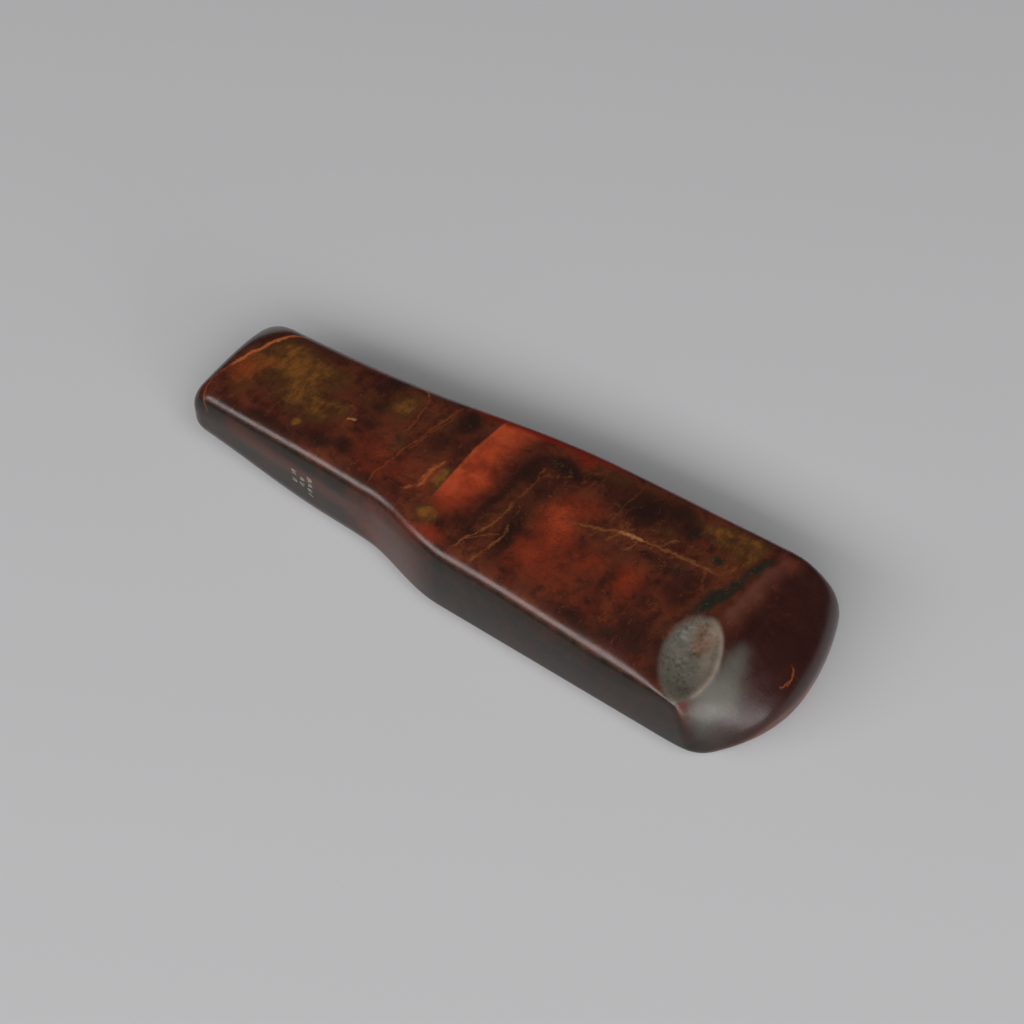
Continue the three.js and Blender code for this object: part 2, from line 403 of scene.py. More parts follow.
# Patches of colour on the upper face: x, y, half length, half width, turn in degrees, strength
patches = {
    "orange": [
        (-8.2, 10, 3.4, 13, 0, 1), (-5, -2, 5, 6, 0, 1), (-5.5, -11, 5, 6, 0, 0.7),
        (-7, 19, 5, 4, 0, 0.9), (-5, -21.5, 7, 3, 0, 0.7), (-1.5, 19, 3, 4, 0, 0.6),
        (-13.8, -7, 2, 6, 0, 0.6), (18.5, 1, 6.5, 8, -12, 0.7), (22, -4, 5, 6, 0, 0.75),
        (22, -14, 7, 7, 0, 0.6), (16, -13, 5, 6, 0, 0.45), (24, 7, 5, 5, 0, 0.5),
        (33, -6.5, 5, 6, 0, 0.55), (33, -17, 6, 4, 0, 0.4), (43, -6.5, 4.4, 6, 0, 0.75),
        (43, -16, 6, 5, 0, 0.28), (53, -8, 4, 6, 0, 0.3), (29, -12, 5, 8, 0, 0.3),
        (-29, -10, 7, 7, 0, 0.4), (-36, -6, 6, 8, 0, 0.3), (-20, -9, 6, 7, 0, 0.42),
        (-76.5, -4, 4, 6, 0, 0.6), (-72, -1, 5, 8, 0, 0.35), (-24, 5, 3, 9, 0, 0.3),
    ],
    "ochre": [
        (-75, -3, 6, 8, 0, 0.9), (-65, 3, 9, 8, 0, 0.9), (-58, -4, 7, 6, 0, 0.75),
        (-50, -6, 4.5, 4.5, 0, 0.75), (-53.5, -11.5, 1.9, 1.6, 0, 1.4), (-70, 8, 7, 7, 0, 0.7),
        (-55, 6, 8, 6, 0, 0.6), (-46, -2, 6, 3, 0, 0.6), (-33, 8, 5, 6, 0, 0.8),
        (-26.5, -3, 3, 4, 0, 0.45), (-42, 6, 5, 4, 0, 0.4), (-22, 8, 5, 8, 0, 0.45),
        (-11.8, -6, 2.6, 4.2, 0, 1.1), (-8, -17, 5, 4, 0, 1), (50, 19, 7, 4, 0, 0.6),
        (58, 18, 8, 5, 0, 0.65), (63, 15, 4, 5, 0, 0.5), (43, 10, 6, 3, 0, 0.45),
        (55, 9, 7, 4, 0, 0.35), (62, 21, 5, 2, 0, 0.45), (23, 18, 6, 4, 20, 0.5),
        (38, 18, 8, 5, 0, 0.3),
    ],
    "red": [
        (-55, 16.6, 16, 2.6, 0, 1), (-46, 16.8, 7, 3, 0, 1.2), (-10, 20, 15, 3, 6, 1.3),
        (1, 21.4, 8, 2.2, 0, 0.8), (13, 19.6, 5, 3.4, -15, 0.75), (17, 22.8, 9, 2.2, 0, 1),
        (38, 24.4, 18, 1.8, 0, 0.7), (60, 24.6, 10, 1.6, 0, 0.4), (-84, -12, 3, 7, 0, 0.8),
        (-84, 6, 2.4, 8, 0, 0.5), (63, -24.8, 9, 2.2, 0, 0.2), (80.5, -6, 3, 3.5, 0, 0.4),
        (-12, -22.4, 9, 3, -20, 0.4), (80, 24, 8, 3, -30, 0.4),
    ],
    "dark": [
        (-38, 5, 4, 4, 0, 0.7), (-36, -2, 3, 3, 0, 0.65), (-38, -11, 4, 3, 0, 0.8),
        (-44, -13, 4, 2.5, 0, 0.75), (-40, 12, 7, 4, 0, 0.6), (-62, -15, 22, 3.4, 0, 0.75),
        (-30, -16, 9, 3, 0, 0.5), (-50, -4.5, 1.5, 1.5, 0, 0.6), (-17, 13, 4.5, 7, 0, 1),
        (-18.5, 2, 3, 7, 0, 0.5), (3.4, -2, 2.4, 20, 0, 0.75), (5.5, 10, 2.5, 7, 0, 0.6),
        (11, 14.5, 5, 3.4, 0, 1), (18, 15.5, 5, 2, 10, 0.7), (9, -2, 3, 11, 0, 0.5),
        (12, -11, 2.6, 11, 0, 0.8), (12.5, 5, 3, 6, 0, 0.55), (33, 15, 11, 8, 0, 0.85),
        (44, 18, 7, 5, 0, 0.6), (33, 0.2, 8, 1.8, 0, 0.4), (45, 2.4, 8, 2, 0, 0.7),
        (38, -8, 1.2, 8, 0, 0.4), (28.6, -8, 1, 9, 0, 0.25), (54, -3, 5, 7, 0, 0.6),
        (51, -17, 9, 6, 0, 0.65), (37, -22, 15, 2.8, 0, 0.65), (61, -23.5, 6, 3, 0, 0.6),
        (58, -16, 3, 6, 0, 0.5), (57, 4.5, 3, 3, 0, 0.5), (48, 15, 3, 3, 0, 0.7),
        (-82, 8, 2.4, 8, 0, 0.9), (-60, 13, 10, 3, 0, 0.4),
    ],
    "green": [
        (52, 3, 5, 2.4, 0, 0.5), (62.6, 4, 2.4, 10, -14, 1), (66.2, 16, 1.8, 5, -20, 0.9),
        (60.5, -3, 2.4, 5, 0, 0.6), (48.5, 15, 2.8, 2.8, 0, 0.5), (56, 11, 2.4, 2, 0, 1),
        (-28, -1, 1.8, 2.2, 0, 0.5), (-36, -2, 2.2, 1.8, 0, 0.4), (10, 14, 4, 2.6, 0, 0.55),
        (57, -12, 3.4, 9, 0, 0.4), (50, -20, 12, 3.4, 0, 0.35), (-12, -5.5, 1.7, 1.9, 0, 0.5),
        (-50, -5, 2, 2, 0, 0.3), (41, 12, 4, 3, 0, 0.4),
    ],
    "paleAndSheen": [   # paler stone at the near corner of the bevel, partly a painted sheen where that corner faces the light
        (74.5, -19, 5.6, 8.5, -12, 1.2), (73.5, -9, 4, 6.5, 0, 0.75),
    ],
    "filigree": [   # where hair-thin veinlets run
        (40, 6, 24, 6, 6, 1), (7, -9, 5, 15, 0, 0.5), (14, 13, 9, 6, 30, 0.8), (-14, -7, 4, 8, 0, 0.8),
        (-50, -3, 14, 7, 0, 0.5), (-25, 0, 5, 16, 0, 0.5), (60, 15, 6, 8, 0, 0.6),
        (-2, 12, 4, 6, 0, 0.4),
    ],
}
tones = {   # how the patches are laid: a pair is where a share starts and ends
    "stirWide": (7.0, 1.2, 11), "stirFine": (2.6, 0.55, 21),   # size, amount, seed
    "patchFall": 1.2, "patchPower": 1.15,
    "topUp": (0.1, 0.6), "wallOut": (0.45, 0.85), "wallUp": (0.75, 0.5),
    "bevelRun": (1.0, 5.5), "bevelUp": (-0.1, 0.3), "bladeRun": (-20, -2), "tangRun": (-20, -34),
    "hiddenUp": (0.35, 0), "hiddenRun": (0.2, 0.8), "hiddenSize": 15.0, "hiddenSeed": 40, "hiddenShare": 0.75,
    "hiddenKept": 0.5,
    # the ridge keys place a pink band along the crest, partly the stone's tone and partly a painted highlight
    "ridgeFrom": 0.4, "ridgeBehind": 1.0, "ridgeAhead": 2.2, "ridgeNear": (-7, 0), "ridgeFar": (24, 15),
    "core": (65.5, -9.0, 4.0, 4.6),   # x, y, half length, half width
    # the rim keys place the painted highlight along the hollow's right rim
    "rimFrom": 0.25, "rimHalf": 0.32, "rimRun": (1.5, 5.0), "rimLean": 0.35,
    "stripeZ": 15.5, "stripeLean": 0.06, "stripeX": -60, "stripeHalf": 3.0,
    "stripeStart": (-80, -66), "stripeEnd": (-8, -22),
    "shoulderX": -12, "shoulderHalf": 11.0, "shoulderUp": (4, 9),
    # paleRun and paleOut keep the pale tone, partly painted sheen, to bevel faces turned to the near side
    "paleRun": (0.0, 1.5), "paleOut": (0.92, 0.78),
}
# What each colour attribute of the mesh holds, channel by channel
attributes = {
    "warmTones": ("orange", "ochre", "red", "ridge"),
    "coolTones": ("dark", "green", "hollowed", "core"),
    "sides": ("top", "nearWall", "bevel", "blade"),
    "details": ("filigree", "strokes", "warmWall", "tangWall"),
    "bevelTones": ("paleAndSheen", "rim"),
}


def stirred(points, size, amount, seed):   # points pushed about so that patches get natural outlines
    push = np.stack([cloud(points, size, seed + k) for k in range(3)], 1)
    return points + push * amount


def patchShare(points, rows):   # 1 where patches are strong, 0 away from them
    left = np.ones(len(points))
    for x, y, halfX, halfY, turn, strength in rows:
        a = math.radians(turn)
        dx, dy = points[:, 0] - x, points[:, 1] - y
        u = (dx * math.cos(a) + dy * math.sin(a)) / halfX
        v = (dy * math.cos(a) - dx * math.sin(a)) / halfY
        fall = np.exp(-tones["patchFall"] * (u * u + v * v) ** tones["patchPower"])
        left = left * (1 - min(strength, 1) * fall * max(strength, 1) ** 0.5).clip(0, 1)
    return 1 - left


def bell(distance):
    return np.exp(-distance ** 2)


def wallShares(x, z, facing):   # the near wall, its tang half and its warmer stripes
    nearWall = ramp(*tones["wallOut"], -facing[:, 1]) * ramp(*tones["wallUp"], facing[:, 2])
    above = z - tones["stripeZ"] + tones["stripeLean"] * (x - tones["stripeX"])
    stripe = bell(above / tones["stripeHalf"]) * ramp(*tones["stripeStart"], x) * ramp(*tones["stripeEnd"], x)
    shoulder = bell((x - tones["shoulderX"]) / tones["shoulderHalf"]) * ramp(*tones["shoulderUp"], z)
    return {"nearWall": nearWall, "tangWall": nearWall * ramp(*tones["tangRun"], x),
            "warmWall": nearWall * np.maximum(stripe, shoulder)}


def hollowShares(surface):   # its floor, the browner middle of it and a painted highlight along its right rim
    x, y, z = surface.T
    cx, cy, halfX, halfY = tones["core"]
    core = np.exp(-(((x - cx) / halfX) ** 2 + ((y - cy) / halfY) ** 2))
    # painted highlight: a thin band at the hollow's edge, on its right side only
    rim = bell((hollowFace(x, y, z) - tones["rimFrom"]) / tones["rimHalf"])
    rim = rim * ramp(*tones["rimRun"], x - hollow["x"] + tones["rimLean"] * (y - hollow["y"]))
    return {"hollowed": hollowShare(surface), "core": core, "rim": rim}


def toneShares(surface, facing):
    x, y, z = surface.T
    up, near = facing[:, 2], -facing[:, 1]
    wavy = stirred(stirred(surface, *tones["stirWide"]), *tones["stirFine"])
    shares = {name: patchShare(wavy, rows) for name, rows in patches.items()}
    shares.update(wallShares(x, z, facing))
    shares.update(hollowShares(surface))
    hidden = ramp(*tones["hiddenUp"], up) * (1 - shares["nearWall"])
    for k, name in enumerate(("orange", "ochre", "red", "dark", "green")):   # plainer on the hidden sides
        plain = ramp(*tones["hiddenRun"], cloud(wavy, tones["hiddenSize"], tones["hiddenSeed"] + k))
        plain = plain * tones["hiddenShare"]
        shares[name] = lerp(shares[name], np.maximum(shares[name] * tones["hiddenKept"], plain), hidden)
    pastRidge = wavy[:, 0] - ridgeLine(y)
    # a pink band along the ridge crest, partly the stone's tone and partly a painted highlight
    fromRidge = pastRidge - tones["ridgeFrom"]
    ridge = bell(fromRidge / np.where(fromRidge > 0, tones["ridgeAhead"], tones["ridgeBehind"]))
    shares["ridge"] = ridge * ramp(*tones["ridgeNear"], y) * ramp(*tones["ridgeFar"], y)
    shares["top"] = ramp(*tones["topUp"], up)
    shares["bevel"] = ramp(*tones["bevelRun"], pastRidge) * ramp(*tones["bevelUp"], up)
    shares["blade"] = ramp(*tones["bladeRun"], wavy[:, 0])
    shares["filigree"] = shares["filigree"] * shares["top"]
    shares["strokes"] = strokeShare(surface)
    # the pale patch, partly paler stone and partly painted sheen, stays on bevel faces turned to the near
    # side
    corner = ramp(*tones["paleRun"], x - ridgeLine(y)) * ramp(*tones["paleOut"], near)
    shares["paleAndSheen"] = shares["paleAndSheen"] * corner
    return shares


def layTones(mesh, shares):
    for name, parts in attributes.items():
        values = np.zeros((len(mesh.vertices), 4), np.float32)
        for k, part in enumerate(parts):
            values[:, k] = np.clip(shares[part], 0, 1)
        mesh.attributes.new(name, "FLOAT_COLOR", "POINT").data.foreach_set("color", values.ravel())


layTones(mesh, toneShares(surface, facing))
print("tones laid")

# Veins, in mm: the axis that one follows, its tone, its half width, how strongly it shows, how
# broken it is, and its path as (along, across) pairs
veins = [
    ("y", "veinBright", 0.72, 0.95, 0.15,
     [(-6, -80.2), (-3, -79.5), (2, -78), (7, -76.6), (12, -74), (15.3, -70.8), (17, -68.5)]),
    ("y", "veinRed", 0.42, 0.8, 0.3,
     [(-19.3, -75), (-17.5, -78), (-15.5, -80), (-12, -81), (-8, -80.7), (-4, -79.8)]),
    ("x", "veinOchre", 0.7, 0.5, 1.2, [(-63, 1.2), (-58, -1), (-54, -2.5), (-48, -2), (-43.5, -2.8)]),
    ("x", "veinCream", 0.42, 0.8, 0.3, [(-43, -3.4), (-41.6, -3), (-40.4, -3.1)]),
    ("x", "veinBright", 0.38, 0.9, 0.2, [(-34.4, 16.4), (-32.6, 16), (-31.6, 15.2), (-30.5, 14)]),
    ("y", "veinRed", 0.32, 0.55, 0.6, [(0, -28.5), (4, -28.2), (8, -28.9), (12, -29.6), (15, -30.6)]),
    ("y", "veinRed", 0.24, 0.7, 0.7,
     [(-18, -26.8), (-12, -26), (-6, -25.3), (-2, -24.6), (2, -23.8), (8, -22.8), (13, -22), (18, -21.2)]),
    ("y", "veinRed", 0.22, 0.6, 0.7, [(-4, -24.1), (2, -23), (8, -21.9), (14, -21)]),
    ("y", "veinBright", 0.8, 0.65, 1,
     [(-14.5, -18.2), (-12.5, -16.6), (-10, -15), (-7, -15.4), (-4, -15.1), (-0.5, -13.8)]),
    ("y", "veinBright", 0.5, 0.22, 0.5, [(-4, -10), (0, -10), (5, -10.2), (12, -9.9), (20, -9.2)]),
    ("y", "veinOchre", 0.42, 0.85, 0.8, [(-22, 2.2), (-17, 4), (-12.5, 6), (-6, 7.4), (-1, 6.6)]),
    ("y", "veinOchre", 0.4, 0.6, 0.9, [(-1, 6.6), (3, 7.4), (8, 7.2), (12, 7)]),
    ("y", "veinOchre", 0.4, 0.85, 0.75, [(-23, 8.3), (-18, 9.5), (-14, 10.4), (-11, 10.7), (-8, 9.6)]),
    ("y", "veinOchre", 0.3, 0.7, 0.8, [(-18.5, 3.4), (-16, 5.6), (-13.5, 8.2), (-12, 10.2)]),
    ("x", "veinOchre", 0.7, 0.6, 1.2, [(7.6, 8.5), (10.5, 10.4), (14, 13), (17, 16), (21, 18.8)]),
    ("x", "veinOchre", 0.55, 0.85, 0.7,
     [(19.5, 0), (25, 1.4), (30, 3.4), (33, 4.9), (38.5, 5.5),
      (42, 5.8), (48, 6.7), (54, 7.1), (58, 7.5), (60.4, 9.6)]),
    ("x", "veinCream", 0.6, 0.8, 0.7, [(32.5, 4.8), (36, 5.3), (39.5, 5.5)]),
    ("y", "veinOchre", 0.35, 0.6, 0.8, [(0.4, 31.6), (2.5, 32.3), (5.2, 33.3)]),
    ("y", "veinOchre", 0.45, 0.7, 0.8, [(0.2, 36), (2.5, 37.6), (5.4, 37.7)]),
    ("y", "veinOchre", 0.3, 0.5, 0.8, [(-0.8, 27.8), (1.5, 28.3), (3.2, 29.6)]),
    ("x", "veinOchre", 0.3, 0.6, 0.8, [(33, 5.2), (34.8, 6.8), (36.4, 8.6)]),
    ("y", "veinOchre", 0.4, 0.6, 0.9, [(6, 43.1), (8.5, 44), (11, 46)]),
    ("y", "veinOchre", 0.7, 0.55, 1.1, [(7.5, 59.2), (10, 60.6), (13, 61.6), (17, 63.8)]),
    ("y", "veinOchre", 0.5, 0.4, 1, [(0.6, 58.2), (4, 56.6), (7, 55.7)]),
    ("y", "veinRed", 0.32, 0.9, 0.2, [(-6.5, 84), (-4, 85), (-1.5, 84.9), (0.4, 83.4)]),
    ("y", "veinOchre", 0.18, 0.35, 0.6, [(3, 29.2), (12, 29.5), (22, 29.8)]),
]

finish = {   # colours are linear shares of red, green and blue
    "maroon": (0.058, 0.013, 0.008), "brown": (0.112, 0.027, 0.012), "black": (0.015, 0.007, 0.0055),
    "orangeDeep": (0.215, 0.028, 0.010), "orangeBright": (0.46, 0.066, 0.023),
    "ochre": (0.215, 0.080, 0.016), "olive": (0.072, 0.034, 0.010), "red": (0.18, 0.013, 0.005),
    # pink is partly the ridge crest's tone and partly a painted highlight on it
    "green": (0.013, 0.016, 0.011), "greenPale": (0.045, 0.050, 0.038), "pink": (0.115, 0.040, 0.028),
    # the pale bevel tone is partly paler stone and partly a painted sheen
    "bevelMaroon": (0.020, 0.005, 0.0042), "bevelPaleAndSheen": (0.105, 0.098, 0.080),
    # rim is the colour of a painted highlight along the hollow's right rim
    "buff": (0.105, 0.098, 0.076), "buffBrown": (0.120, 0.062, 0.034), "rim": (0.26, 0.20, 0.155),
    # wall grey and maroon are partly the stone's darker grey-green and partly painted shade on the near wall
    "wallGrey": (0.009, 0.010, 0.007), "wallMaroon": (0.022, 0.009, 0.006),
    "wallOrange": (0.058, 0.017, 0.008),
    "veinBright": (0.45, 0.115, 0.032), "veinRed": (0.22, 0.050, 0.016), "veinOchre": (0.19, 0.066, 0.021),
    "veinCream": (0.42, 0.17, 0.068), "marks": (0.46, 0.43, 0.35), "specks": (0.20, 0.12, 0.08),
    # the sharp butt-side edge of the orange band, as (y, x) pairs
    "bandEdge": [(-22, -10.4), (-3, -10.6), (5, -10.9), (12, -10.5), (22, -9.6)],
    "roughness": 0.19, "mottleRough": 0.07, "scratchRough": 0.07, "hollowedRough": 0.20, "bevelRough": 0.06,
    "strokesRough": 0.4, "refraction": 1.5, "bump": 0.2, "bumpDepth": 0.00008,
}
covers = {   # share at which a tone starts and is full, how ragged its outline is, how much it hides
    "ochre": (0.12, 0.8, 0.7, 0.92), "orange": (0.12, 0.95, 0.62, 0.94), "dark": (0.15, 0.9, 0.7, 0.84),
    "red": (0.15, 0.95, 0.5, 0.9), "green": (0.25, 0.85, 0.8, 0.92), "paleAndSheen": (0.15, 1.0, 0.35, 0.85),
    "warmWall": (0.2, 1.0, 0.5, 0.85), "hollowed": (0.15, 0.95, 0.45, 0.94),
    # these lie evenly, with no ragged outline
    # wall is how fully the near wall's dark tone, partly painted shade, covers it
    "bevel": 0.86, "wall": 0.9, "rim": 0.6,
}
textures = {   # size in mm, then detail, roughness and distortion
    "clouds": (9.0, 4.0, 0.6, 0.4), "mottle": (3.2, 5.0, 0.62, 0.3), "streaks": (1.7, 5.0, 0.62, 0.5),
    "grain": (0.7, 4.0, 0.7, 0.0), "hair": (4.2, 5.0, 0.6, 1.2), "hairRed": (8.0, 5.0, 0.55, 0.8),
    "specks": (0.42, 2.0, 0.5, 0.0), "scratch": (0.9, 3.0, 0.7, 0.0),
    # stretch along each axis and turn, for the textures that run one way
    "streakLay": ((1.0, 0.35, 0.6), (0, 0, 0.12)), "scratchLay": ((0.35, 2.6, 1.0), (0.1, 0.05, 0.5)),
}


class Weave:   # short ways to add nodes to one material
    def __init__(self, tree):
        self.tree = tree
        self.share, self.texture = {}, {}   # the tones laid on the mesh and the noises, by name

    def add(self, kind, sockets, **settings):
        node = self.tree.nodes.new(kind)
        for key, value in settings.items():
            setattr(node, key, value)
        for key, value in sockets.items():
            if isinstance(value, bpy.types.NodeSocket):
                self.tree.links.new(value, node.inputs[key])
            else:
                node.inputs[key].default_value = value
        return node

    def calc(self, operation, a, b=0.0, c=0.0):
        return self.add("ShaderNodeMath", {0: a, 1: b, 2: c}, operation=operation).outputs[0]

    def times(self, *values):
        total = values[0]
        for value in values[1:]:
            total = self.calc("MULTIPLY", total, value)
        return total

    def jitter(self, texture, amount, value):   # value moved up and down by a texture
        return self.calc("MULTIPLY_ADD", self.calc("SUBTRACT", texture, 0.5), amount, value)

    def fade(self, value, a, b, low=0.0, high=1.0):   # smooth change as value goes from a to b
        node = self.add("ShaderNodeMapRange", {0: value, 1: a, 2: b, 3: low, 4: high},
                        interpolation_type="SMOOTHSTEP")
        return node.outputs[0]

    def stretch(self, value, a, b, low=0.0, high=1.0):
        return self.add("ShaderNodeMapRange", {0: value, 1: a, 2: b, 3: low, 4: high}).outputs[0]

    def blend(self, share, under, over):   # under and over are colours, or names in finish
        full = [finish[c] + (1,) if isinstance(c, str) else c for c in (under, over)]
        return self.add("ShaderNodeMix", {0: share, 6: full[0], 7: full[1]}, data_type="RGBA").outputs[2]

    def noise(self, name, place):
        size, detail, rough, distort = textures[name]
        return self.add("ShaderNodeTexNoise", {"Vector": place, "Scale": 1.0 / size, "Detail": detail,
                                               "Roughness": rough, "Distortion": distort}).outputs[0]

    def laid(self, name, place):   # places stretched and turned for a texture that runs one way
        scale, turn = textures[name]
        return self.add("ShaderNodeMapping", {"Vector": place, "Scale": scale, "Rotation": turn}).outputs[0]

    def curve(self, value, spots):   # a drawn line: spots hold (place, height) pairs
        places, heights = zip(*spots)
        low, high = min(heights) - 0.5, max(heights) + 0.5
        node = self.add("ShaderNodeFloatCurve", {1: self.stretch(value, places[0], places[-1])})
        held = [((s - places[0]) / (places[-1] - places[0]), (t - low) / (high - low)) for s, t in spots]
        points = node.mapping.curves[0].points
        points[0].location, points[1].location = held[0], held[-1]
        for spot in held[1:-1]:
            points.new(*spot)
        node.mapping.update()
        return self.stretch(node.outputs[0], 0.0, 1.0, low, high)

    def ragged(self, share, low, high, amount, texture="mottle"):   # patch outline broken up by textures
        moved = self.jitter(self.texture[texture], amount, share)
        return self.fade(self.jitter(self.texture["grain"], amount * 0.35, moved), low, high)

    def cover(self, name, texture="mottle"):
        low, high, amount, most = covers[name]
        return self.times(self.ragged(self.share[name], low, high, amount, texture), most)


def readShares(w):
    share = {}
    for name, parts in attributes.items():
        node = w.add("ShaderNodeAttribute", {}, attribute_name=name)
        split = w.add("ShaderNodeSeparateColor", {0: node.outputs["Color"]})
        share.update(zip(parts, list(split.outputs) + [node.outputs["Alpha"]]))
    share["calm"] = w.calc("SUBTRACT", 1.0, w.times(share["bevel"], 0.75))   # the bevel is plainer
    return share


def readTextures(w):   # the noises and the three axes, all in mm on the stone
    coords = w.add("ShaderNodeTexCoord", {}).outputs["Object"]
    place = w.add("ShaderNodeVectorMath", {0: coords, 1: (1 / mm,) * 3, 2: tuple(shift)},
                  operation="MULTIPLY_ADD").outputs[0]
    evenOnes = ("clouds", "mottle", "grain", "hair", "hairRed", "specks")
    texture = {name: w.noise(name, place) for name in evenOnes}
    texture["streaks"] = w.noise("streaks", w.laid("streakLay", place))
    texture["scratch"] = w.noise("scratch", w.laid("scratchLay", place))
    texture.update(zip("xyz", w.add("ShaderNodeSeparateXYZ", {0: place}).outputs))
    return texture


def groundTone(w):
    s, t = w.share, w.texture
    color = w.blend(w.fade(t["clouds"], 0.36, 0.66), "maroon", "brown")
    color = w.blend(w.times(w.fade(t["mottle"], 0.52, 0.34), 0.55, s["calm"]), color, "black")
    return w.blend(w.times(w.fade(t["streaks"], 0.5, 0.74), 0.5, s["calm"]), color, "brown")


def oliveStains(w, color):
    ochre, streaks = w.share["ochre"], w.texture["streaks"]
    tone = w.blend(w.ragged(ochre, 0.55, 1.0, 0.9), "olive", "ochre")
    tone = w.blend(w.fade(streaks, 0.58, 0.36, 0.0, 0.5), tone, "maroon")
    return w.blend(w.cover("ochre"), color, tone)


def pastBandEdge(w):   # mm past the sharp edge of the orange band
    t = w.texture
    past = w.calc("SUBTRACT", t["x"], w.curve(t["y"], finish["bandEdge"]))
    return w.jitter(t["grain"], 0.6, past)


def orangePatches(w, color, pastEdge):
    orange, t = w.share["orange"], w.texture
    tone = w.blend(w.ragged(orange, 0.55, 1.15, 0.7, "clouds"), "orangeDeep", "orangeBright")
    band = w.calc("MAXIMUM", w.fade(pastEdge, -0.2, 0.3), w.fade(t["x"], -12.5, -13.5))
    band = w.calc("MAXIMUM", band, w.fade(t["y"], -3.0, -8.0))
    low, high, amount, most = covers["orange"]
    share = w.times(w.ragged(orange, low, high, amount), band, w.fade(t["streaks"], 0.66, 0.46, 0.7, 1.0))
    color = w.blend(w.times(share, most), color, tone)
    return w.blend(w.times(w.fade(t["grain"], 0.55, 0.35), share, 0.35), color, "maroon")


def bandGlow(w, color, pastEdge):   # the brightest part of the band, right behind its sharp edge
    t = w.texture
    glow = w.times(w.fade(pastEdge, -0.2, 0.4), w.fade(pastEdge, 12.5, 2.5), w.fade(t["y"], -15.0, -6.0),
                   w.fade(t["y"], 25.0, 19.0), w.fade(t["clouds"], 0.22, 0.46, 0.72, 1.0))
    tone = w.blend(w.fade(t["clouds"], 0.58, 0.36, 0.0, 0.8), "orangeBright", "orangeDeep")
    return w.blend(w.times(glow, w.fade(t["grain"], 0.70, 0.40, 0.72, 0.96)), color, tone)


def darkClouds(w, color):
    return w.blend(w.cover("dark"), color, "black")


def redAndGreen(w, color):
    color = w.blend(w.cover("red"), color, "red")
    green = w.blend(w.fade(w.texture["grain"], 0.56, 0.70), "green", "greenPale")
    return w.blend(w.cover("green"), color, green)


def bevelTones(w, color):
    color = w.blend(w.times(w.share["bevel"], covers["bevel"]), color, "bevelMaroon")
    # Paler stone with a painted sheen at the bevel's near corner
    color = w.blend(w.cover("paleAndSheen", "clouds"), color, "bevelPaleAndSheen")
    # A pink band along the ridge crest, partly its tone and partly a painted highlight
    brokenUp = w.times(w.share["ridge"], w.fade(w.texture["clouds"], 0.3, 0.6, 0.65, 0.95))
    return w.blend(brokenUp, color, "pink")


def wallTones(w, color):
    s = w.share
    # Partly painted shade: the near wall is laid darker than the stone on top, in grey and maroon
    tone = w.blend(w.fade(w.texture["mottle"], 0.44, 0.68), "wallGrey", "wallMaroon")
    share = w.calc("MAXIMUM", w.times(s["nearWall"], s["blade"]), s["tangWall"])
    color = w.blend(w.times(share, covers["wall"]), color, tone)
    return w.blend(w.cover("warmWall"), color, "wallOrange")


def hollowTones(w, color):
    s, t = w.share, w.texture
    tone = w.blend(w.ragged(s["core"], 0.2, 0.9, 1.1), "buff", "buffBrown")
    pits = w.calc("MULTIPLY_ADD", t["mottle"], 0.5, w.calc("MULTIPLY", t["grain"], 0.5))
    tone = w.blend(w.fade(pits, 0.47, 0.62, 0.0, 0.55), tone, "wallGrey")
    color = w.blend(w.cover("hollowed"), color, tone)
    # Painted highlight along the hollow's right rim
    return w.blend(w.times(s["rim"], covers["rim"]), color, "rim")


def veinShare(w, wobble, axis, half, strength, broken, path):
    along, across = (w.texture[a] for a in (axis, "x" if axis == "y" else "y"))
    gap = w.calc("ADD", w.calc("SUBTRACT", across, w.curve(along, path)), wobble)
    line = w.fade(w.calc("ABSOLUTE", gap), half * 1.3, half * 0.2)
    ends = w.calc("PINGPONG", w.stretch(along, path[0][0], path[-1][0]), 0.5)
    brokenUp = w.fade(w.texture["streaks"], 0.36 * broken, 0.36 * broken + 0.24)
    return w.times(line, w.fade(ends, 0.0, 0.12), brokenUp, strength)


def veinsAndHairs(w, color):
    s, t = w.share, w.texture
    wobble = w.jitter(t["grain"], 1.5, w.calc("MULTIPLY", w.calc("SUBTRACT", t["mottle"], 0.5), 2.6))
    for axis, tone, *shape in veins:
        color = w.blend(w.times(veinShare(w, wobble, axis, *shape), s["top"]), color, tone)
    hair = w.calc("ABSOLUTE", w.calc("SUBTRACT", t["hair"], 0.5))
    hair = w.times(w.fade(hair, 0.020, 0.003), w.fade(t["streaks"], 0.42, 0.62), s["filigree"], 0.75)
    color = w.blend(hair, color, "veinOchre")
    hair = w.calc("ABSOLUTE", w.calc("SUBTRACT", t["hairRed"], 0.47))
    hair = w.times(w.fade(hair, 0.010, 0.002), w.fade(t["streaks"], 0.45, 0.65), s["calm"],
                   w.fade(s["nearWall"], 0.6, 0.0, 0.1, 0.5))
    return w.blend(hair, color, "veinRed")


def specksAndMarks(w, color):
    s = w.share
    specks = w.fade(w.texture["specks"], 0.74, 0.80, 0.0, 0.5)
    color = w.blend(w.times(specks, s["top"], s["calm"]), color, "specks")
    return w.blend(s["strokes"], color, "marks")


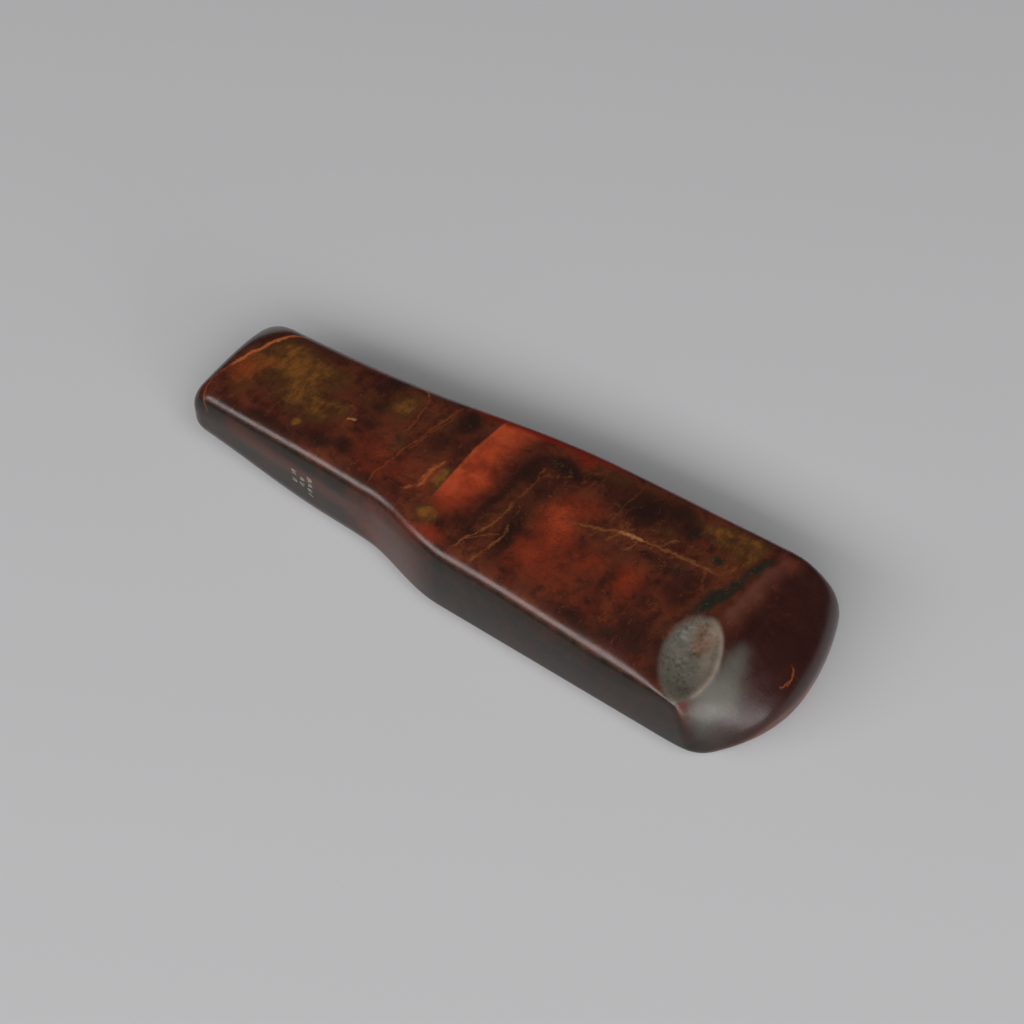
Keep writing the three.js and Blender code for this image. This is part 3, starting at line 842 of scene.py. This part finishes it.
def polish(w, shader):   # roughness, fine scratches and the gritty floor of the hollow
    s, t = w.share, w.texture
    rough = w.calc("MULTIPLY_ADD", w.fade(t["mottle"], 0.3, 0.7), finish["mottleRough"], finish["roughness"])
    rough = w.calc("MULTIPLY_ADD", w.fade(t["scratch"], 0.45, 0.75), finish["scratchRough"], rough)
    for name in ("hollowed", "bevel", "strokes"):
        rough = w.calc("MULTIPLY_ADD", s[name], finish[name + "Rough"], rough)
    height = w.calc("MULTIPLY_ADD", t["scratch"], 0.35, w.calc("MULTIPLY", t["grain"], 0.5))
    height = w.calc("MULTIPLY_ADD", w.calc("MULTIPLY", t["grain"], s["hollowed"]), 3.0, height)
    bump = w.add("ShaderNodeBump", {"Strength": finish["bump"], "Distance": finish["bumpDepth"],
                                    "Height": height})
    w.tree.links.new(rough, shader.inputs["Roughness"])
    w.tree.links.new(bump.outputs[0], shader.inputs["Normal"])
    shader.inputs["IOR"].default_value = finish["refraction"]


def stoneMaterial():   # later tones lie over earlier ones
    material = bpy.data.materials.new("polishedJadeite")
    material.use_nodes = True
    shader = material.node_tree.nodes["Principled BSDF"]
    w = Weave(material.node_tree)
    w.share, w.texture = readShares(w), readTextures(w)
    pastEdge = pastBandEdge(w)
    color = oliveStains(w, groundTone(w))
    color = darkClouds(w, orangePatches(w, color, pastEdge))
    color = redAndGreen(w, bandGlow(w, color, pastEdge))
    for layer in (bevelTones, wallTones, hollowTones, veinsAndHairs, specksAndMarks):
        color = layer(w, color)
    w.tree.links.new(color, shader.inputs["Base Color"])
    polish(w, shader)
    return material


mesh.materials.append(stoneMaterial())
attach(piece, "root")
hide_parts("axe_head")
print("stone finished")

studio = {
    "floorSize": 14.0, "floorColor": (0.60, 0.60, 0.61, 1), "floorRough": 0.9, "floorSheen": 0.1,
    "world": 0.035,
    # each softbox: place in metres, width, height, power in watts
    "frontBox": ((0.0, -2.30, 1.66), 5.6, 0.90, 74),
    "cornerBox": ((2.42, -1.10, 0.76), 1.2, 1.1, 16),
    "overBox": ((1.50, -1.25, 2.20), 2.4, 1.9, 42),
}
view = {   # angles in degrees, distance, target and lens in mm, nearest in metres
    "azimuth": 35.3, "elevation": 50.0, "distance": 480.0, "target": (8.0, -4.3, 23.0), "lens": 70.3,
    "nearest": 0.01,
}


def softbox(name):   # a rectangular light turned to face the stone
    place, width, height, power = studio[name]
    light = bpy.data.lights.new(name, "AREA")
    light.shape = "RECTANGLE"
    light.size, light.size_y = width, height
    light.energy = power
    lamp = bpy.data.objects.new(name, light)
    lamp.location = place
    lamp.rotation_euler = (-Vector(place)).to_track_quat("-Z", "Y").to_euler()
    bpy.context.scene.collection.objects.link(lamp)


def addFloor():
    half = studio["floorSize"] / 2
    corners = [(-half, -half, 0), (half, -half, 0), (half, half, 0), (-half, half, 0)]
    mesh = bpy.data.meshes.new("floor")
    mesh.from_pydata(corners, [], [(0, 1, 2, 3)])
    material = bpy.data.materials.new("paleFloor")
    material.use_nodes = True
    shader = material.node_tree.nodes["Principled BSDF"]
    shader.inputs["Base Color"].default_value = studio["floorColor"]
    shader.inputs["Roughness"].default_value = studio["floorRough"]
    shader.inputs["Specular IOR Level"].default_value = studio["floorSheen"]
    mesh.materials.append(material)
    floor = bpy.data.objects.new("floor", mesh)
    bpy.context.scene.collection.objects.link(floor)


def addWorld():
    world = bpy.data.worlds.new("studio")
    world.use_nodes = True
    world.node_tree.nodes["Background"].inputs["Color"].default_value = (studio["world"],) * 3 + (1,)
    bpy.context.scene.world = world


def addCamera():
    a, e = math.radians(view["azimuth"]), math.radians(view["elevation"])
    back = np.array([math.sin(a) * math.cos(e), -math.cos(a) * math.cos(e), math.sin(e)])
    camera = bpy.data.objects.new("camera", bpy.data.cameras.new("camera"))
    camera.data.lens = view["lens"]
    camera.data.clip_start = view["nearest"]
    camera.location = (np.array(view["target"]) - shift + back * view["distance"]) * mm
    camera.rotation_euler = (math.pi / 2 - e, 0, a)
    bpy.context.scene.collection.objects.link(camera)
    bpy.context.scene.camera = camera


addFloor()
for name in ("frontBox", "cornerBox", "overBox"):
    softbox(name)
addWorld()
addCamera()
bpy.context.scene.view_settings.view_transform = "Standard"
print("studio ready")
